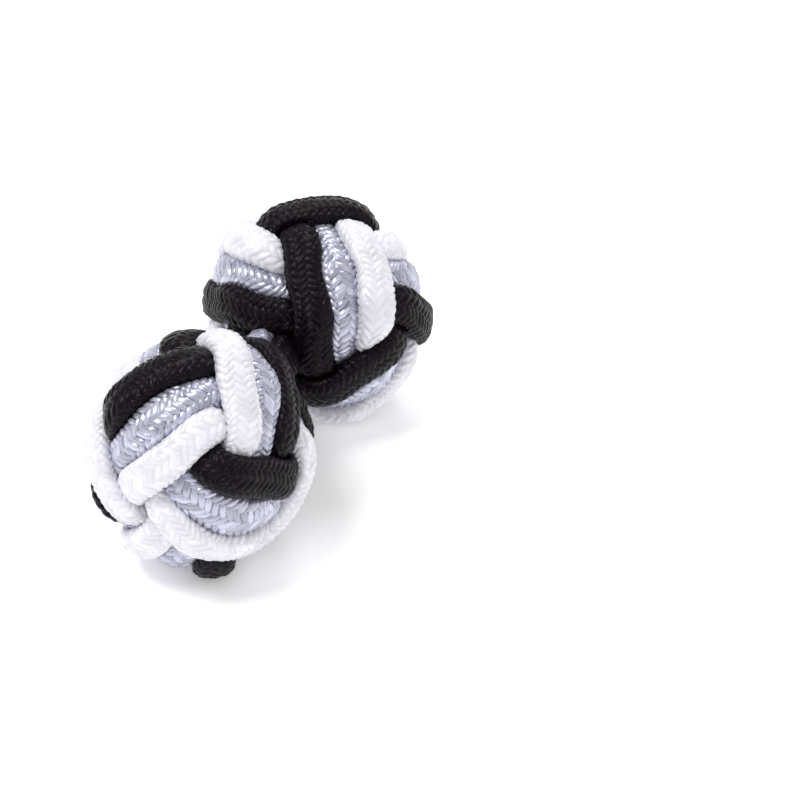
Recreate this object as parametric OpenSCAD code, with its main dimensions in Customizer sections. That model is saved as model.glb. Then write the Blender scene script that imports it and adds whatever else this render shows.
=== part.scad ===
// Silk knot cuff button: three soft cords that are tied into two ball knots with a short neck between.
// The part lies on its side, with the neck along X, the front knot at -X and the back knot at +X.
// Its origin is under the middle of its outline, on the surface that it lies on. Sizes are in mm.

/* [Cords] */
// Width of a cord, which is pressed flat against the knot
cord_w = 1.7; // [1.6:0.02:1.86]
// Thickness of a cord across its flat side
cord_t = 1.12; // [1:0.02:1.24]
// Clearance between one cord and the next
cord_gap = 0.12; // [0.1:0.01:0.16]

/* [Knots] */
// Width of the hole in a knot that its neck goes into
neck_hole_d = 3.9; // [3.7:0.1:4.4]
// Turn of the front knot about the neck, in degrees
front_turn = 63; // [0:1:90]
// Lean of the front knot upwards and to one side, in degrees
front_lean = [-8, -10]; // [-15:1:15]
// Length, width and depth of the front knot against those of an even one
front_pull = [1.12, 1.12, 0.93]; // [0.85:0.01:1.15]
// Twist of the front knot from end to end, in degrees
front_twist = -24; // [-30:1:30]
// Turn of the back knot about the neck, in degrees
back_turn = 35; // [0:1:90]
// Lean of the back knot upwards and to one side, in degrees
back_lean = [1, 1]; // [-15:1:15]
// Length, width and depth of the back knot against those of an even one
back_pull = [0.9, 1, 1.02]; // [0.85:0.01:1.15]
// Twist of the back knot from end to end, in degrees
back_twist = -18; // [-30:1:30]

/* [Neck] */
// Length of neck that shows between the two knots
neck_len = 4.4; // [3:0.1:8]
// Turn of the bundle of three cords in the neck, in degrees
bundle_turn = 30; // [0:1:60]

/* [Rest] */
// Roll of the part about its neck as it lies, in degrees
rest_roll = 1; // [-15:1:15]
// How far the soft cords give where the knots lie on a surface
rest_give = 0.36; // [0:0.02:0.4]

/* [Hidden] */

// The three cords run side by side: white towards the crown, silver between, black towards the neck
WHITE = 0;
SILVER = 1;
BLACK = 2;
sides = [1, 0, -1];

// A knot is four bights round its axis, and each cord has this many points in one bight
bight_n = 32;
loop_n = 4 * bight_n;
bight_step = 270;

// How the cords are laid before they are pulled tight: degrees, and radii as shares of a cord's width
lay_lat = 48;
lay_square = 3;
lay_swing = 9;
lane_step = 23;
lay_r = 3.3;
over_share = 0.7;
edge_over_share = 0.9;
crown_share = 0.2;

// How the knot is pulled tight: steps with tension, steps without, and steps between neighbour lists
pull_n = 100;
ease_n = 20;
list_n = 20;
pull_share = 0.2;
pull_fade = 0.9;
shove_share = 0.5;
reach_share = 0.62;
cross_limit = 0.8;
near_share = 3.3;
own_skip = 3;

// How the whole part settles: steps, and how near two points are to be tested
settle_n = 18;
settle_share = 2.5;

// Half sizes of a cord with half its clearance
half_w = (cord_w + cord_gap) / 2;
half_t = (cord_t + cord_gap) / 2;
neck_r = neck_hole_d / 2 + half_t;

// Points round a cord, and rings along its hidden bend and along half of its neck
ring_n = 8;
bend_n = 8;
neck_n = 3;

// Bights at which each cord enters a knot, as [white, silver, black], and the part of a bight where it
// dips under a band near the neck. It enters some points past the deepest, and its end is tucked before it.
front_entry = [0, 1, 3];
back_entry = [2, 0, 3];
dip_from = 0.5;
dip_to = 0.8;
entry_past = [2, 3, 3];
tail_gap_n = 3;

// The hidden bend of a cord: how deep it starts, how far it runs straight at each end, and how steeply
// it rises into its lane
bend_drop = 2.2;
bend_start = 1.6;
bend_finish = 1.1;
bend_rise = 0.6;

function unit(v) = v / max(norm(v), 1e-9);
function sum(list, i = 0, s = [0, 0, 0]) = i == len(list) ? s : sum(list, i + 1, s + list[i]);
function turned(p, a) = [p.x * cos(a) - p.y * sin(a), p.x * sin(a) + p.y * cos(a), p.z];
function ball(lat, lon) = [cos(lat) * cos(lon), cos(lat) * sin(lon), sin(lat)];

// Even knot, as laid: crown at +Z, u counts bights, and side is the cord's place in the band of three
function band_dir(u) = ball(lay_lat * cos(360 * u) + lay_square * cos(1080 * u),
                            bight_step * u + lay_swing * sin(720 * u));
function laid(u, side) =
    let (mid = band_dir(u),
         along = unit(band_dir(u + 0.001) - band_dir(u - 0.001)),
         a = side * lane_step,
         over = side == 0 ? over_share : edge_over_share,
         r = cord_w * (lay_r - over * sin(720 * u) - crown_share * side * cos(360 * u)))
    r * (mid * cos(a) + cross(mid, along) * sin(a));

// Whole loops from one bight of each cord
function whole(bights) = [for (b = bights) [for (q = [0:3]) for (p = b) turned(p, bight_step * q)]];

// Frames along closed loops: [point, along, outward, sideways]
function frames(loops) = [for (s = loops) let (k = len(s)) [for (i = [0:k - 1])
    let (along = unit(s[(i + 1) % k] - s[(i + k - 1) % k]),
         out = unit(s[i] - (s[i] * along) * along))
    [s[i], along, out, cross(along, out)]]];

// For each point of a bight, the points of the loops that it could touch
function neighbours(loops) = [for (k = [0:2]) [for (i = [0:bight_n - 1])
    [for (l = [0:2]) for (j = [0:loop_n - 1])
        let (apart = abs(i - j))
        if ((l != k || min(apart, loop_n - apart) > own_skip)
            && norm(loops[k][i] - loops[l][j]) < near_share * half_w) [l, j]]]];

// Push on a cord at frame f from a cord at frame g, where their flattened sections overlap
function half_width(f, dir) = norm([half_w * (dir * f[3]), half_t * (dir * f[2])]);
function shove(f, g, reach) =
    let (v = f[0] - g[0], c = f[1] * g[1], vf = v * f[1], vg = v * g[1])
    norm(v) > near_share * half_w ? undef :
    let (crossing = abs(c) < cross_limit,
         s = crossing ? (c * vg - vf) / (1 - c * c) : 0,
         t = crossing ? (vg - c * vf) / (1 - c * c) : vg)
    abs(s) > reach || abs(t) > reach ? undef :
    let (w = v + s * f[1] - t * g[1],
         dir = unit(w),
         overlap = half_width(f, dir) + half_width(g, dir) - norm(w))
    overlap > 0 ? overlap * dir : undef;

// Keeps a point out of the hole for the neck
function kept(p) =
    let (rho = norm([p.x, p.y]))
    p.z < 0 && rho < neck_r ? [p.x * neck_r / rho, p.y * neck_r / rho, p.z] : p;

// One step: each cord is drawn straight, then the cords push each other apart
function pulled(bights, near, share) =
    let (loops = whole(bights),
         drawn = [for (s = loops) [for (i = [0:bight_n - 1])
             s[i] + share * ((s[i + 1] + s[(i + loop_n - 1) % loop_n]) / 2 - s[i])]],
         f = frames(whole(drawn)),
         reach = reach_share * norm(f[SILVER][1][0] - f[SILVER][0][0]),
         push = [for (k = [0:2]) [for (i = [0:bight_n - 1])
             let (hits = [for (m = near[k][i]) let (x = shove(f[k][i], f[m[0]][m[1]], reach))
                          if (x != undef) x])
             len(hits) == 0 ? [0, 0, 0] : shove_share * sum(hits) / len(hits)]],
         all_push = whole(push))
    [for (k = [0:2]) let (w = all_push[k]) [for (i = [0:bight_n - 1])
        kept(drawn[k][i] + w[i] + (w[i + 1] + w[(i + loop_n - 1) % loop_n]) / 2)]];
function steps(bights, near, i, last) =
    i == last ? bights :
    steps(pulled(bights, near, i < pull_n ? pull_share * (1 - pull_fade * i / pull_n) : 0), near, i + 1, last);
function tightened(bights, i = 0) =
    i >= pull_n + ease_n ? bights :
    tightened(steps(bights, neighbours(whole(bights)), i, i + list_n), i + list_n);

even_knot = whole(tightened([for (side = sides) [for (i = [0:bight_n - 1]) laid(i / bight_n, side)]]));

// How far an even knot reaches towards its neck
even_reach = max([for (s = even_knot) for (p = s) -p.z]) + cord_t / 2;

// Neck bundle: distance of a cord's middle from the neck's axis, with the cords' flats outward
bundle_r = norm([half_w * cos(30), half_t * sin(30)]) / sin(60);

// Where a knot stands: an even knot is turned, twisted, pulled and leaned, then laid along X
function shaped(p, turn, twist, pull, lean) =
    let (a = turned(p, turn + twist * (p.z + even_reach) / (2 * even_reach)),
         b = [a.x * pull.y, a.y * pull.z, a.z * pull.x],
         c = [b.x, b.y * cos(lean.x) - b.z * sin(lean.x), b.y * sin(lean.x) + b.z * cos(lean.x)])
    [c.x * cos(lean.y) + c.z * sin(lean.y), c.y, c.z * cos(lean.y) - c.x * sin(lean.y)];

front_x = -(neck_len / 2 + even_reach * front_pull.x);
back_x = neck_len / 2 + even_reach * back_pull.x;
function in_front(p) =
    let (q = shaped(p, front_turn, front_twist, front_pull, front_lean)) [front_x - q.z, q.y, q.x];
function at_back(p) =
    let (q = shaped(p, back_turn, back_twist, back_pull, back_lean)) [back_x + q.z, q.y, -q.x];

// Smooth bend from a to b, which leaves a along da and meets b along db
function bend(a, da, b, db, t) =
    let (s = 1 - t) s * s * s * a + 3 * s * s * t * (a + da) + 3 * s * t * t * (b - db) + t * t * t * b;

// Bundle angle of a cord in an even knot's own frame, before the knot is turned
bundle_angle = [-90, 30, 150] - [30, 30, 30] + [bundle_turn, bundle_turn, bundle_turn];
function bundle_spot(angle, z) = [bundle_r * cos(angle), bundle_r * sin(angle), z];

// Point of a bight where a cord lies deepest under the band that hides its ends
function deepest(k) =
    let (r = [for (i = [round(dip_from * bight_n):round(dip_to * bight_n)]) [norm(even_knot[k][i]), i]],
         low = min([for (x = r) x[0]]))
    [for (x = r) if (x[0] == low) x[1]][0];

// One cord in one knot, from the middle of the neck inward: [point, reference point for its flat side]
// The bend runs up the hole for the neck and out into the cord's own lane, under the band that hides it.
function knot_run(k, angle, entry) =
    let (s = even_knot[k],
         first = entry * bight_n + deepest(k) + entry_past[k],
         count = loop_n - tail_gap_n,
         lane = [for (i = [0:count - 1]) s[(first + i) % loop_n]],
         along = unit(unit(lane[1] - lane[0]) + bend_rise * unit(lane[0])),
         low = bundle_spot(angle, lane[0].z - bend_drop * cord_w),
         start = [0, 0, bend_start * cord_w],
         finish = bend_finish * cord_w * along,
         bent = [for (i = [0:bend_n - 1])
             let (t = i / bend_n, p = bend(low, start, lane[0], finish, t)) [p, [0, 0, (1 - t) * p.z]]])
    concat(bent, [for (p = lane) [p, [0, 0, 0]]]);

function placed_front(run) = [for (r = run) [in_front(r[0]), in_front(r[1])]];
function placed_back(run) = [for (r = run) [at_back(r[0]), at_back(r[1])]];

// A whole cord: out of the front knot, along the neck and into the back knot
function cord_run(k) =
    let (front = placed_front(knot_run(k, 90 - bundle_angle[k] - front_turn, front_entry[k])),
         back = placed_back(knot_run(k, 90 + bundle_angle[k] - back_turn, back_entry[k])),
         a = front[0][0],
         b = back[0][0],
         da = unit(a - front[1][0]) * (b.x - a.x) / 3,
         db = unit(back[1][0] - b) * (b.x - a.x) / 3,
         ra = front[0][1],
         rb = back[0][1],
         span = 2 * neck_n,
         neck = [for (i = [1:span - 1]) let (t = i / span) [bend(a, da, b, db, t), ra * (1 - t) + rb * t]])
    concat([for (i = [len(front) - 1:-1:0]) front[i]], neck, back);

// Frames along the three runs: [point, along, outward, sideways]
function run_frames(runs) = [for (run = runs) let (last = len(run) - 1) [for (i = [0:last])
    let (p = run[i][0],
         along = unit(run[min(i + 1, last)][0] - run[max(i - 1, 0)][0]),
         v = p - run[i][1],
         out = unit(v - (v * along) * along))
    [p, along, out, cross(along, out)]]];

// For each point of the runs, the points that it could touch
function run_neighbours(f) = [for (k = [0:2]) [for (i = [0:len(f[k]) - 1])
    [for (l = [0:2]) for (j = [0:len(f[l]) - 1])
        if ((l != k || abs(i - j) > own_skip) && norm(f[k][i][0] - f[l][j][0]) < settle_share * half_w)
            [l, j]]]];

// Settling of the whole part: cords that the uneven shapes brought too close push each other apart
function settled(runs, near, n) =
    n == 0 ? runs :
    let (f = run_frames(runs),
         reach = reach_share * norm(f[SILVER][1][0] - f[SILVER][0][0]),
         push = [for (k = [0:2]) [for (i = [0:len(f[k]) - 1])
             let (hits = [for (m = near[k][i]) let (x = shove(f[k][i], f[m[0]][m[1]], reach))
                          if (x != undef) x])
             len(hits) == 0 ? [0, 0, 0] : shove_share * sum(hits) / len(hits)]])
    settled([for (k = [0:2]) let (last = len(runs[k]) - 1) [for (i = [0:last])
        [runs[k][i][0] + push[k][i] + (push[k][min(i + 1, last)] + push[k][max(i - 1, 0)]) / 2,
         runs[k][i][1]]]], near, n - 1);

raw_runs = [for (k = [WHITE, SILVER, BLACK]) cord_run(k)];
runs = settled(raw_runs, run_neighbours(run_frames(raw_runs)), settle_n);

// Rings of a cord along its run
function ring(f) = [for (j = [0:ring_n - 1])
    let (a = 360 * (j + 0.5) / ring_n)
    f[0] + f[3] * cord_w / 2 * cos(a) + f[2] * cord_t / 2 * sin(a)];
rings = [for (run = run_frames(runs)) [for (f = run) ring(f)]];

// The part is rolled about its neck, then levelled so that both knots touch the surface
function rolled(p) = [p.x, p.y * cos(rest_roll) - p.z * sin(rest_roll), p.y * sin(rest_roll) + p.z * cos(rest_roll)];
function lowest(points) = let (z = min([for (p = points) p.z])) [for (p = points) if (p.z == z) p][0];
rolled_points = [for (c = rings) for (r = c) for (p = r) rolled(p)];
front_foot = lowest([for (p = rolled_points) if (p.x < 0) p]);
back_foot = lowest([for (p = rolled_points) if (p.x > 0) p]);
slope = atan2(back_foot.z - front_foot.z, back_foot.x - front_foot.x);
function levelled(p) =
    let (q = rolled(p)) [q.x * cos(slope) + q.z * sin(slope), q.y, q.z * cos(slope) - q.x * sin(slope)];
cords = [for (c = rings) [for (r = c) [for (p = r) levelled(p)]]];

// The surface is where the lowest cord has given way a little
all_z = [for (c = cords) for (r = c) for (p = r) p.z];
all_x = [for (c = cords) for (r = c) for (p = r) p.x];
all_y = [for (c = cords) for (r = c) for (p = r) p.y];
origin = [(min(all_x) + max(all_x)) / 2, (min(all_y) + max(all_y)) / 2, min(all_z) + rest_give];

module cord(k) {
    seated = [for (r = cords[k]) for (p = r) let (q = p - origin) [q.x, q.y, max(q.z, 0)]];
    last = len(cords[k]) - 1;
    walls = [for (i = [0:last - 1]) for (j = [0:ring_n - 1])
        let (a = i * ring_n + j, b = i * ring_n + (j + 1) % ring_n)
        each [[a, b, b + ring_n], [a, b + ring_n, a + ring_n]]];
    start_cap = [for (j = [ring_n - 1:-1:0]) j];
    end_cap = [for (j = [0:ring_n - 1]) last * ring_n + j];
    polyhedron(seated, concat(walls, [start_cap, end_cap]), convexity = 12);
}

module white_cord() {
    color("#f1f0f4") cord(WHITE);
}

module silver_cord() {
    color("#b4b7c8") cord(SILVER);
}

module black_cord() {
    color("#25211f") cord(BLACK);
}

white_cord();
silver_cord();
black_cord();
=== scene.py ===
import math

import bmesh
import bpy
import numpy as np
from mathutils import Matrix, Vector


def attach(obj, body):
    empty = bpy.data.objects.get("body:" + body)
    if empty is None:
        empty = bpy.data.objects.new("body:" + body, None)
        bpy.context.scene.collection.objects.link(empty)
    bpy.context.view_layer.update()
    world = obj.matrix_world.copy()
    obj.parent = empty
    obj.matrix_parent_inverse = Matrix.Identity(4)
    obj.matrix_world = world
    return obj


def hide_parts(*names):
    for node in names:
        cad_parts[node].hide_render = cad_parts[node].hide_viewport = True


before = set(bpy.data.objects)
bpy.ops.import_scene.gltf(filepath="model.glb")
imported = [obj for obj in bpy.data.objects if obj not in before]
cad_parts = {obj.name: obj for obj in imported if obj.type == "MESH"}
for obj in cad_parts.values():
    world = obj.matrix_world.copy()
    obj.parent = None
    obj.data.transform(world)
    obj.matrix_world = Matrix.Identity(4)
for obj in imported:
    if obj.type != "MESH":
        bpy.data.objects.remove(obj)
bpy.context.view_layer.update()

# WHITE CORD
# A soft core in a sleeve braided from white satin yarn. It runs on the crown side of both knots.
# The three cords are pulled tight against each other, so each one is pressed out of round.

MM = 0.001

# Half the width and half the thickness of each cord before it is pressed. All three stand here,
# because every cord's sleeve needs to know the other two.
cord_half_size = {"white_cord": (1.2 * MM, 0.8 * MM), "silver_cord": (1.45 * MM, 0.92 * MM),
                  "black_cord": (1.3 * MM, 0.8 * MM)}
ring_corners = 8
ring_spacing = 0.4 * MM
same_point = 1e-6


def solid_rings(node):
    """Eight-cornered rings of a solid cord, in order from its end in the front knot."""
    bm = bmesh.new()
    bm.from_mesh(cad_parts[node].data)
    bmesh.ops.remove_doubles(bm, verts=bm.verts, dist=same_point)
    bm.verts.index_update()
    place = np.array([v.co for v in bm.verts])
    beside = [[e.other_vert(v).index for e in v.link_edges] for v in bm.verts]
    bm.free()

    def levels(start):
        """Corners in layers, by how many edges they lie away from the first ones."""
        seen, layers = set(start), [list(start)]
        while layers[-1]:
            layer = sorted({w for v in layers[-1] for w in beside[v]} - seen)
            seen.update(layer)
            layers.append(layer)
        return layers[:-1]

    rings = levels(levels([0])[-1])
    if any(len(ring) != ring_corners for ring in rings):
        raise RuntimeError("a ring of " + node + " has not eight corners")
    rings = np.array([place[ring] for ring in rings])
    return rings if rings[0, :, 0].mean() < 0 else rings[::-1]


def unit(v):
    return v / np.linalg.norm(v, axis=-1, keepdims=True)


def smooth_resample(points, at):
    """Points on a smooth curve through the given ones, at the given fractional places."""
    i = np.minimum(at.astype(int), len(points) - 2)
    t = (at - i)[:, None]
    p = [points[np.clip(i + k, 0, len(points) - 1)] for k in (-1, 0, 1, 2)]
    return 0.5 * (
        2 * p[1]
        + (p[2] - p[0]) * t
        + (2 * p[0] - 5 * p[1] + 4 * p[2] - p[3]) * t**2
        + (3 * p[1] - p[0] - 3 * p[2] + p[3]) * t**3
    )


def cord_course(node):
    """Middle line of a cord with its direction, its flat side's direction and its thickness direction."""
    rings = solid_rings(node)
    middle = rings.mean(1)
    flat = np.array([np.linalg.svd(ring - ring.mean(0))[2][0] for ring in rings])
    for i in range(1, len(flat)):
        flat[i] *= 1 if flat[i] @ flat[i - 1] > 0 else -1
    run = np.concatenate([[0], np.cumsum(np.linalg.norm(np.diff(middle, axis=0), axis=1))])
    steps = int(run[-1] / ring_spacing)
    at = np.interp(np.linspace(0, run[-1], steps), run, np.arange(len(middle)))
    middle = smooth_resample(middle, at)
    along = unit(np.gradient(middle, axis=0))
    flat = smooth_resample(flat, at)
    flat = unit(flat - (flat * along).sum(1, keepdims=True) * along)
    return {"middle": middle, "along": along, "flat": flat, "thick": np.cross(along, flat),
            "half_size": np.tile(cord_half_size[node], (steps, 1)), "length": run[-1]}


courses = {node: cord_course(node) for node in ("white_cord", "silver_cord", "black_cord")}

cord_squareness = 2.5
cord_corners = 24
section_steps = 720


def section_point(angle):
    """Point of a cord's rounded flat section, as shares of its half width and half thickness."""
    c, s = np.cos(angle), np.sin(angle)
    size = (np.abs(c) ** cord_squareness + np.abs(s) ** cord_squareness) ** (-1 / cord_squareness)
    return size * c, size * s


def section_corners(half_width, half_thickness):
    """Angles of evenly spaced corners round a cord's section, and its girth."""
    angle = np.linspace(0, 2 * np.pi, section_steps + 1)
    across, through = section_point(angle)
    steps = np.hypot(half_width * np.diff(across), half_thickness * np.diff(through))
    arc = np.concatenate([[0], np.cumsum(steps)])
    return np.interp(np.arange(cord_corners) / cord_corners * arc[-1], arc, angle), float(arc[-1])


# A cord doesn't press on itself within own_stretch. Elsewhere each corner of a sleeve is moved out
# from core_share of its full reach, in press_tries tries, until it meets one of the nearest places
# of any cord. A place counts only within slice_share of a step along its cord.
own_stretch = 2.6 * MM
nearest_places = 40
core_share = 0.45
press_tries = 12
slice_share = 0.7
press_clearance = 0.015 * MM
smoothing_rounds = 2
far_off = 1.0
out_of_reach = 9
least_change = 1e-9


def pressed_sleeve(node):
    """Corners of a cord's sleeve, drawn in wherever another stretch of cord presses on it."""
    own = courses[node]
    half_width, half_thickness = cord_half_size[node]
    all_cords = {key: np.concatenate([course[key] for course in courses.values()])
                 for key in ("middle", "along", "flat", "thick", "half_size")}
    start = sum(len(courses[n]["middle"]) for n in list(courses)[: list(courses).index(node)])
    count = len(own["middle"])
    step = own["length"] / (count - 1)
    flat_share, thick_share = section_point(section_corners(half_width, half_thickness)[0])
    ray = (half_width * flat_share[None, :, None] * own["flat"][:, None]
           + half_thickness * thick_share[None, :, None] * own["thick"][:, None])

    gap = np.linalg.norm(own["middle"][:, None] - all_cords["middle"][None], axis=2)
    places = np.arange(count)
    own_steps = int(own_stretch / step)
    for k in range(-own_steps, own_steps + 1):
        ok = (places + k >= 0) & (places + k < count)
        gap[places[ok], start + places[ok] + k] = far_off
    near = np.argsort(gap, axis=1)[:, :nearest_places]
    beside = {key: values[near][:, None] for key, values in all_cords.items()}

    fractions = np.linspace(core_share, 1.0, press_tries)
    reach = np.ones((count, cord_corners))
    previous = np.full((count, cord_corners), -1.0)
    for number, fraction in enumerate(fractions):
        tip = own["middle"][:, None] + fraction * ray
        off = tip[:, :, None] - beside["middle"]
        lengthwise = np.abs((off * beside["along"]).sum(-1))
        across = np.abs((off * beside["flat"]).sum(-1) / beside["half_size"][..., 0])
        through = np.abs((off * beside["thick"]).sum(-1) / beside["half_size"][..., 1])
        section = (across**cord_squareness + through**cord_squareness) ** (1 / cord_squareness)
        other = np.where(lengthwise < slice_share * step, section, out_of_reach).min(2)
        excess = fraction - other
        crossed = (excess > 0) & (reach == 1)
        earlier = fractions[max(number - 1, 0)]
        share = np.clip(-previous / np.maximum(excess - previous, least_change), 0, 1)
        reach = np.where(crossed, earlier + share * (fraction - earlier), reach)
        previous = excess
    size = np.linalg.norm(ray, axis=2)
    reach = np.where(reach < 1, reach - press_clearance / size, reach)
    for _ in range(smoothing_rounds):
        reach = (np.roll(reach, 1, 1) + 2 * reach + np.roll(reach, -1, 1)) / 4
        reach[1:-1] = (reach[:-2] + 2 * reach[1:-1] + reach[2:]) / 4
    corners = own["middle"][:, None] + reach[..., None] * ray

    power = cord_squareness - 1
    slope_flat = np.sign(flat_share) * np.abs(flat_share) ** power / half_width
    slope_thick = np.sign(thick_share) * np.abs(thick_share) ** power / half_thickness
    outward = unit(slope_flat[None, :, None] * own["flat"][:, None]
                   + slope_thick[None, :, None] * own["thick"][:, None])
    return corners, outward


floor_softness = 0.2 * MM


def sleeve_object(name, node, sink):
    """Closed sleeve of a cord, sunk under its yarns, with a UV map along and round it."""
    corners, outward = pressed_sleeve(node)
    count, sides = corners.shape[:2]
    corners = corners - sink * outward
    height = corners[..., 2]
    corners[..., 2] = (height + np.hypot(height, floor_softness)) / 2
    faces, uv = [], []
    for i in range(count - 1):
        for j in range(sides):
            k = (j + 1) % sides
            faces.append((i * sides + j, i * sides + k, (i + 1) * sides + k, (i + 1) * sides + j))
            u0, u1 = i / (count - 1), (i + 1) / (count - 1)
            uv += [(u0, j / sides), (u0, (j + 1) / sides), (u1, (j + 1) / sides), (u1, j / sides)]
    # The two end caps lie off the map, so no yarn is laid on them.
    faces += [tuple(range(sides))[::-1], tuple((count - 1) * sides + j for j in range(sides))]
    uv += [(-1, -1)] * (2 * sides)
    mesh = bpy.data.meshes.new(name)
    mesh.from_pydata(corners.reshape(-1, 3).tolist(), [], faces)
    mesh.polygons.foreach_set("use_smooth", [True] * len(faces))
    mesh.uv_layers.new(name="UVMap").data.foreach_set("uv", np.array(uv, np.float32).ravel())
    mesh.attributes.new("outward", "FLOAT_VECTOR", "POINT").data.foreach_set(
        "vector", outward.astype(np.float32).ravel())
    piece = bpy.data.objects.new(name, mesh)
    bpy.context.scene.collection.objects.link(piece)
    return piece


class Wire:
    """A node's output, which arithmetic turns into Math nodes."""

    def __init__(self, net, socket):
        self.net, self.socket = net, socket

    def out(self, name):
        return Wire(self.net, self.socket.node.outputs[name])

    def into(self, socket):
        self.net.tree.links.new(self.socket, socket)

    def maths(self, operation, *values):
        return self.net.node("ShaderNodeMath", {"operation": operation}, *values)

    def __add__(self, other):
        return self.maths("ADD", self, other)

    def __sub__(self, other):
        return self.maths("SUBTRACT", self, other)

    def __rsub__(self, other):
        return self.maths("SUBTRACT", other, self)

    def __mul__(self, other):
        return self.maths("MULTIPLY", self, other)

    def __truediv__(self, other):
        return self.maths("DIVIDE", self, other)

    def __rtruediv__(self, other):
        return self.maths("DIVIDE", other, self)

    def __mod__(self, other):
        return self.maths("FLOORED_MODULO", self, other)

    def __rmod__(self, other):
        return self.maths("FLOORED_MODULO", other, self)

    __radd__, __rmul__ = __add__, __mul__


class Net:
    """A node tree under construction."""

    def __init__(self, tree):
        self.tree = tree

    def node(self, kind, settings=None, *values, **named):
        """New node: its settings first, then its sockets in order or by name. A list joins several wires."""
        made = self.tree.nodes.new(kind)
        for key, value in (settings or {}).items():
            setattr(made, key, value)
        by_name = {s.name.lower().replace(" ", "_"): s for s in reversed(made.inputs) if s.enabled}
        pairs = [*zip([s for s in made.inputs if s.enabled], values),
                 *((by_name[key], value) for key, value in named.items())]
        for socket, value in pairs:
            if isinstance(value, Wire):
                value.into(socket)
            elif isinstance(value, list):
                for wire in value:
                    wire.into(socket)
            else:
                socket.default_value = value
        return Wire(self, next((s for s in made.outputs if s.enabled), None))


def yarn_float(name):
    """One stretch of yarn as it shows in the braid: a plump lozenge whose ends dive under."""
    lengthwise, sidewise = 4, 3
    end_width, width_power = 0.62, 0.8
    edge_depth, end_dive, rise_power = 0.4, 0.25, 0.7
    points, uv = [], []
    for i in range(lengthwise + 1):
        for j in range(sidewise + 1):
            x, y = i / lengthwise, j / sidewise
            taper = end_width + (1 - end_width) * math.sin(math.pi * x) ** width_power
            dome = math.sqrt(max(0.0, 1 - (2 * y - 1) ** 2))
            rise = math.sin(math.pi * x) ** rise_power
            height = dome * (edge_depth + rise) - edge_depth - end_dive * (1 - rise)
            points.append((x - 0.5, (y - 0.5) * taper, height))
            uv.append((x, y))
    row = sidewise + 1
    # The sleeve runs round its cord left-handed, so a float that faces down here faces out on it.
    faces = [(i * row + j, i * row + j + 1, (i + 1) * row + j + 1, (i + 1) * row + j)
             for i in range(lengthwise) for j in range(sidewise)]
    mesh = bpy.data.meshes.new(name)
    mesh.from_pydata(points, [], faces)
    mesh.polygons.foreach_set("use_smooth", [True] * len(faces))
    layer = mesh.uv_layers.new(name="UVMap")
    for loop in mesh.loops:
        layer.data[loop.index].uv = uv[loop.vertex_index]
    return bpy.data.objects.new(name, mesh)


# How far each float of yarn strays from its even place: angles in radians, sizes as shares.
slant_play, roll_play, pitch_play = 0.12, 0.22, 0.05
length_play, width_play, height_play = 0.1, 0.12, 0.25
darkest_tone, palest_tone = 0.5, 1.0
# The UV map isn't read nearer to a cord's end than this share of its length.
end_margin = 0.0005


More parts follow.
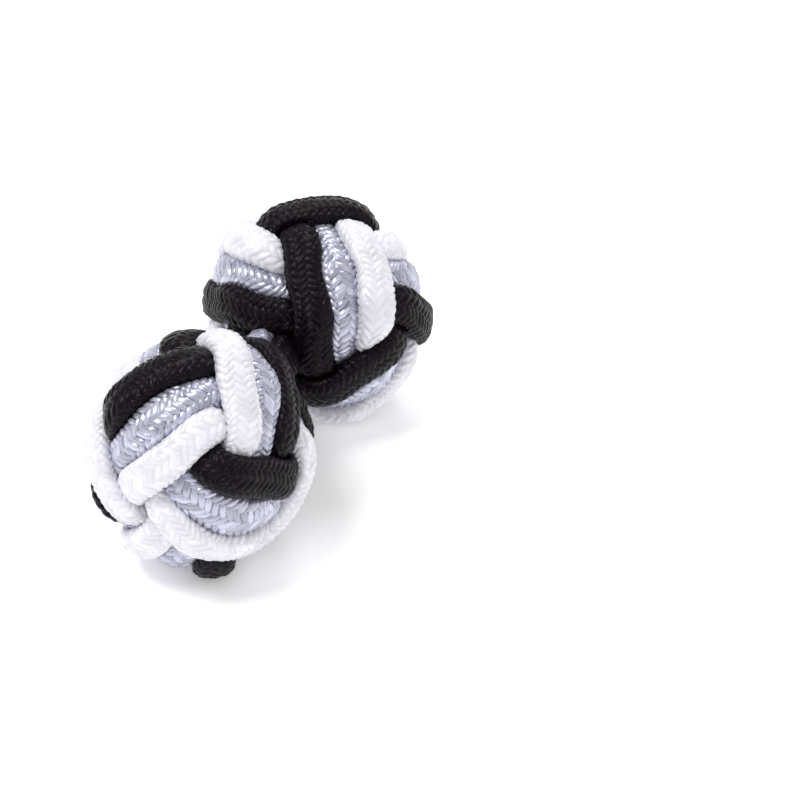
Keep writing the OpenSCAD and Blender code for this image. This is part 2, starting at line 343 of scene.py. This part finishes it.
def braid_tree():
    """Lays floats of yarn in columns round a sleeve, slanted the other way in every second column."""
    tree = bpy.data.node_groups.new("braid", "GeometryNodeTree")
    sockets = [("Sleeve", "Geometry"), ("Yarn", "Object"), ("Cord Length", "Float"), ("Cord Girth", "Float"),
               ("Picks", "Int"), ("Columns", "Int"), ("Yarn Length", "Float"), ("Yarn Width", "Float"),
               ("Yarn Height", "Float"), ("Slant", "Float"), ("Twist", "Float"), ("Looseness", "Float"),
               ("Seed", "Int"), ("Finish", "Material")]
    for name, kind in sockets:
        tree.interface.new_socket(name, in_out="INPUT", socket_type="NodeSocket" + kind)
    tree.interface.new_socket("Braid", in_out="OUTPUT", socket_type="NodeSocketGeometry")
    net = Net(tree)
    asked = net.node("NodeGroupInput")
    picks, columns = asked.out("Picks"), asked.out("Columns")
    length, girth = asked.out("Cord Length"), asked.out("Cord Girth")
    seed, loose = asked.out("Seed"), asked.out("Looseness")

    def chance(low, high, salt):
        return net.node("FunctionNodeRandomValue", {"data_type": "FLOAT"},
                        min=low, max=high, seed=seed + salt)

    def play(most, salt):
        return chance(-most, most, salt) * loose

    index = net.node("GeometryNodeInputIndex")
    column = index % columns
    pick = net.node("ShaderNodeMath", {"operation": "FLOOR"}, index / columns)
    odd = column % 2
    along = (pick + 0.5 + odd * 0.5) / (picks + 1) * length
    around = (column + 0.5) / columns * girth + asked.out("Twist") * along / length * girth
    place = net.node("ShaderNodeCombineXYZ", None, along, around, 0.0)
    points = net.node("GeometryNodePoints", None, count=picks * columns, position=place)
    slant = (odd * 2 - 1) * asked.out("Slant") + play(slant_play, 1)
    turn = net.node("ShaderNodeCombineXYZ", None, play(roll_play, 6), play(pitch_play, 7), slant)
    size = net.node("ShaderNodeCombineXYZ", None,
                    asked.out("Yarn Length") * (1 + play(length_play, 2)),
                    asked.out("Yarn Width") * (1 + play(width_play, 3)),
                    asked.out("Yarn Height") * (1 + play(height_play, 4)))
    yarn = net.node("GeometryNodeObjectInfo", None, object=asked.out("Yarn")).out("Geometry")
    laid = net.node("GeometryNodeInstanceOnPoints", None,
                    points=points, instance=yarn, rotation=turn, scale=size)
    toned = net.node("GeometryNodeStoreNamedAttribute", {"data_type": "FLOAT", "domain": "INSTANCE"},
                     geometry=laid, name="tone", value=chance(darkest_tone, palest_tone, 5))
    loose_yarn = net.node("GeometryNodeRealizeInstances", None, toned)

    # The flat sheet of floats is wound onto the sleeve, each point over its place on the UV map.
    here = net.node("GeometryNodeInputPosition")
    flat = net.node("ShaderNodeSeparateXYZ", None, here)
    limited = net.node("ShaderNodeClamp", None, flat.out("X") / length, end_margin, 1 - end_margin)
    spot = net.node("ShaderNodeCombineXYZ", None, limited, flat.out("Y") / girth % 1, 0.0)
    uv = net.node("GeometryNodeInputNamedAttribute", {"data_type": "FLOAT_VECTOR"}, "UVMap")
    outward = net.node("GeometryNodeInputNamedAttribute", {"data_type": "FLOAT_VECTOR"}, "outward")

    def on_sleeve(value):
        return net.node("GeometryNodeSampleUVSurface", {"data_type": "FLOAT_VECTOR"},
                        mesh=asked.out("Sleeve"), value=value, uv_map=uv, sample_uv=spot)

    lift = net.node("ShaderNodeVectorMath", {"operation": "SCALE"},
                    vector=on_sleeve(outward), scale=flat.out("Z"))
    seat = net.node("ShaderNodeVectorMath", {"operation": "ADD"}, on_sleeve(here), lift)
    # No yarn goes below the floor. Sideways the limit is a metre away, so it does nothing.
    level = net.node("ShaderNodeVectorMath", {"operation": "MAXIMUM"}, seat, (-1.0, -1.0, 0.0))
    wound = net.node("GeometryNodeSetPosition", None, geometry=loose_yarn, position=level)
    joined = net.node("GeometryNodeJoinGeometry", None, [wound, asked.out("Sleeve")])
    whole = net.node("GeometryNodeRealizeInstances", None, joined)
    finished = net.node("GeometryNodeSetMaterial", None, geometry=whole, material=asked.out("Finish"))
    net.node("NodeGroupOutput", None, finished)
    return tree


# Filaments run along a yarn: cells of noise over one float's length and width, and their relief.
filament_stretch = (1.6, 16.0, 1.0)
filament_depth = 0.02 * MM
filament_relief = 0.5
tone_shift = (91.0, 57.0)
tone_weight = 0.65
roughness_play = 0.16
# Cells of lint noise in a metre, and the tint of lint. The pale lint specks also stand as painted glints on
# the black yarn.
lint_and_glint_grain = 7000.0
lint_and_glint_tint = (1.25, 0.95, 0.95)


def yarn_material(name, colour, gap_shade_colour, roughness, gloss, metal, tone_and_shade_depth, lint_and_glint=0.0):
    """Satin yarn: fine filaments on floats that differ in tone, a darker colour in the gaps between them
    that is painted shade, and painted shade at each float's ends.
    """
    material = bpy.data.materials.new(name)
    material.use_nodes = True
    net = Net(material.node_tree)
    sockets = material.node_tree.nodes["Principled BSDF"].inputs
    tone = net.node("ShaderNodeAttribute", {"attribute_name": "tone"}).out("Fac")
    uv = net.node("ShaderNodeUVMap", {"uv_map": "UVMap"})
    stretched = net.node("ShaderNodeMapping", None, vector=uv, scale=filament_stretch)
    # Each float's tone also shifts its noise, so that floats differ in their filaments.
    shift = net.node("ShaderNodeCombineXYZ", None, tone * tone_shift[0], tone * tone_shift[1], 0.0)
    filament = net.node("ShaderNodeTexNoise", {"noise_dimensions": "2D"},
                        vector=net.node("ShaderNodeVectorMath", {"operation": "ADD"}, stretched, shift),
                        scale=1.0, detail=2.0)

    # The bare sleeve has no tone. A float is darker towards its two ends: painted shade where it dives
    # under.
    is_yarn = net.node("ShaderNodeMapRange", None, tone,
                       from_min=0.0, from_max=0.45, to_min=0.0, to_max=1.0)
    lengthwise = net.node("ShaderNodeSeparateXYZ", None, uv).out("X")
    painted_end_shade = net.node("ShaderNodeMapRange", None, lengthwise * (1 - lengthwise),
                    from_min=0.03, from_max=0.2, to_min=0.35, to_max=1.0)
    mixed = tone * tone_weight + filament * (1 - tone_weight)
    shade = painted_end_shade * net.node("ShaderNodeMapRange", None, mixed,
                            from_min=0.42, from_max=0.86, to_min=0.0, to_max=1.0)
    # The darker yarn colour serves both the floats' random tone and the painted shade at their ends.
    dark_colour = [c * (1 - tone_and_shade_depth) for c in colour]
    yarn = net.node("ShaderNodeMix", {"data_type": "RGBA"}, shade, a=(*dark_colour, 1), b=(*colour, 1))
    # Where the bare sleeve shows between the floats it takes a darker colour: painted shade in the gaps.
    base = net.node("ShaderNodeMix", {"data_type": "RGBA"}, is_yarn, a=(*gap_shade_colour, 1), b=yarn)
    # Pale specks, partly lint and partly painted glints.
    if lint_and_glint:
        place = net.node("ShaderNodeTexCoord").out("Object")
        lint_and_glint_noise = net.node("ShaderNodeTexNoise", None, vector=place, scale=lint_and_glint_grain, detail=3.0)
        specks = net.node("ShaderNodeMapRange", None, lint_and_glint_noise,
                          from_min=0.60, from_max=0.78, to_min=0.0, to_max=1.0)
        lint_and_glint_colour = [lint_and_glint * share for share in lint_and_glint_tint]
        base = net.node("ShaderNodeMix", {"data_type": "RGBA"}, specks, a=base, b=(*lint_and_glint_colour, 1))
    base.into(sockets["Base Color"])
    (filament * roughness_play + (roughness - roughness_play / 2)).into(sockets["Roughness"])
    bump = net.node("ShaderNodeBump", None,
                    strength=filament_relief, distance=filament_depth, height=filament)
    bump.into(sockets["Normal"])
    sockets["Specular IOR Level"].default_value = gloss
    sockets["Metallic"].default_value = metal
    return material


braid = braid_tree()
yarn = yarn_float("yarn")
pick_length = 0.43 * MM
yarn_columns = 10
length_overlap, width_overlap = 1.56, 1.34
sleeve_sink = 0.4


def braided_cord(name, node, finish, yarn_height, twist, seed):
    """Sleeve and yarns of one cord as a single piece."""
    length = float(courses[node]["length"])
    girth = section_corners(*cord_half_size[node])[1]
    column = girth / yarn_columns
    slant = math.atan2(column, pick_length)
    piece = sleeve_object(name, node, sleeve_sink * yarn_height)
    modifier = piece.modifiers.new("braid", "NODES")
    modifier.node_group = braid
    wanted = {"Yarn": yarn, "Cord Length": length, "Cord Girth": girth, "Picks": int(length / pick_length),
              "Columns": yarn_columns, "Yarn Length": length_overlap * math.hypot(column, pick_length),
              "Yarn Width": width_overlap * pick_length * math.sin(slant), "Yarn Height": yarn_height,
              "Slant": slant, "Twist": twist, "Looseness": 1.0, "Seed": seed, "Finish": finish}
    for item in braid.interface.items_tree:
        if item.in_out == "INPUT" and item.name in wanted:
            modifier[item.identifier] = wanted[item.name]
    evaluated = piece.evaluated_get(bpy.context.evaluated_depsgraph_get())
    mesh = bpy.data.meshes.new_from_object(evaluated)
    mesh.name = name
    piece.modifiers.clear()
    piece.data = mesh
    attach(piece, "root")
    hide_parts(node)
    return piece


# Its darker sleeve colour is painted shade between the floats.
white_yarn = yarn_material("white_yarn", colour=(0.885, 0.88, 0.945), gap_shade_colour=(0.73, 0.72, 0.80),
                           roughness=0.28, gloss=1.0, metal=0.0, tone_and_shade_depth=0.24)
white_piece = braided_cord("white_braided_cord", "white_cord", white_yarn,
                           yarn_height=0.1 * MM, twist=3.0, seed=11)

# SILVER CORD
# The same cord, braided from lavender grey satin yarn that glints. It lies between the other two in
# every band of the knots, and their pull alone holds it.

# Its darker sleeve colour is painted shade between the floats.
silver_yarn = yarn_material("silver_yarn", colour=(0.67, 0.675, 0.83), gap_shade_colour=(0.20, 0.20, 0.28),
                            roughness=0.26, gloss=1.0, metal=0.5, tone_and_shade_depth=0.56)
silver_piece = braided_cord("silver_braided_cord", "silver_cord", silver_yarn,
                            yarn_height=0.12 * MM, twist=-4.0, seed=23)

# BLACK CORD
# The same cord, braided from warm black yarn with a dull sheen, and pale specks on it that are partly lint
# and partly painted glints.
# It runs on the neck side of both knots.

# Its darker sleeve colour is painted shade between the floats.
black_yarn = yarn_material("black_yarn", colour=(0.0052, 0.0020, 0.0060), gap_shade_colour=(0.0016, 0.0006, 0.0018),
                           roughness=0.3, gloss=0.12, metal=0.0, tone_and_shade_depth=0.4, lint_and_glint=0.06)
black_piece = braided_cord("black_braided_cord", "black_cord", black_yarn,
                           yarn_height=0.11 * MM, twist=2.0, seed=37)

# FLOOR, LIGHT AND CAMERA
# A plain pale floor whose far rim curves up into a low wall, under soft studio light.
# It is seen through a long lens from above.

floor_radius, rim_radius, floor_sides, rim_steps = 1.1, 0.2, 64, 8
rim_angles = np.linspace(0, math.pi / 2, rim_steps + 1)
floor_points = [(0, 0, 0)] + [
    ((floor_radius + rim_radius * math.sin(rise)) * math.cos(turn),
     (floor_radius + rim_radius * math.sin(rise)) * math.sin(turn), rim_radius * (1 - math.cos(rise)))
    for rise in rim_angles for turn in 2 * np.pi * np.arange(floor_sides) / floor_sides]
floor_faces = [(0, 1 + j, 1 + (j + 1) % floor_sides) for j in range(floor_sides)] + [
    (1 + i * floor_sides + j, 1 + (i + 1) * floor_sides + j,
     1 + (i + 1) * floor_sides + (j + 1) % floor_sides, 1 + i * floor_sides + (j + 1) % floor_sides)
    for i in range(rim_steps) for j in range(floor_sides)]
floor_mesh = bpy.data.meshes.new("floor")
floor_mesh.from_pydata(floor_points, [], floor_faces)
floor_mesh.polygons.foreach_set("use_smooth", [True] * len(floor_faces))
floor = bpy.data.objects.new("floor", floor_mesh)
floor_finish = bpy.data.materials.new("pale_floor")
floor_finish.use_nodes = True
floor_shader = floor_finish.node_tree.nodes["Principled BSDF"].inputs
floor_shader["Base Color"].default_value = (0.96, 0.96, 0.965, 1)
floor_shader["Roughness"].default_value = 0.9
floor_shader["Specular IOR Level"].default_value = 0.1
floor_shader["Emission Color"].default_value = (1, 1, 1, 1)
floor_shader["Emission Strength"].default_value = 0.25
floor_mesh.materials.append(floor_finish)
bpy.context.scene.collection.objects.link(floor)


def view_axes(azimuth, elevation):
    a, e = math.radians(azimuth), math.radians(elevation)
    back = Vector((math.sin(a) * math.cos(e), -math.cos(a) * math.cos(e), math.sin(e)))
    right = Vector((math.cos(a), math.sin(a), 0))
    return back, right, back.cross(right)


def soft_light(name, azimuth, elevation, distance, size, power):
    """A square soft box aimed at the part."""
    lamp = bpy.data.lights.new(name, "AREA")
    lamp.size, lamp.energy = size, power
    lit = bpy.data.objects.new(name, lamp)
    back = view_axes(azimuth, elevation)[0]
    lit.location = back * distance
    lit.rotation_euler = (-back).to_track_quat("-Z", "Y").to_euler()
    bpy.context.scene.collection.objects.link(lit)


soft_light("key_light", azimuth=-135, elevation=66, distance=0.6, size=0.2, power=1.75)
soft_light("fill_light", azimuth=-10, elevation=40, distance=0.7, size=0.5, power=0.3)
soft_light("back_light", azimuth=100, elevation=50, distance=0.7, size=0.2, power=1.2)

world = bpy.data.worlds.new("studio")
world.use_nodes = True
world.node_tree.nodes["Background"].inputs["Color"].default_value = (1, 1, 1, 1)
world.node_tree.nodes["Background"].inputs["Strength"].default_value = 0.6
bpy.context.scene.world = world
bpy.context.scene.view_settings.view_transform = "Standard"

photo_size = 810
pixels_per_metre = 16.57 / MM
photo_azimuth, photo_elevation = -65.1, 38.9
middle_pixel = (253.1, 385.6)
camera_distance = 0.4
back, right, up = view_axes(photo_azimuth, photo_elevation)
middle = Vector((0, 0, 6.6 * MM))
aim = middle + right * ((photo_size / 2 - middle_pixel[0]) / pixels_per_metre) \
    - up * ((photo_size / 2 - middle_pixel[1]) / pixels_per_metre)
lens = bpy.data.cameras.new("camera")
lens.lens = lens.sensor_width * camera_distance / (photo_size / pixels_per_metre)
lens.clip_start, lens.clip_end = 0.01, 10
camera = bpy.data.objects.new("camera", lens)
camera.location = aim + back * camera_distance
camera.rotation_euler = (-back).to_track_quat("-Z", "Y").to_euler()
bpy.context.scene.collection.objects.link(camera)
bpy.context.scene.camera = camera
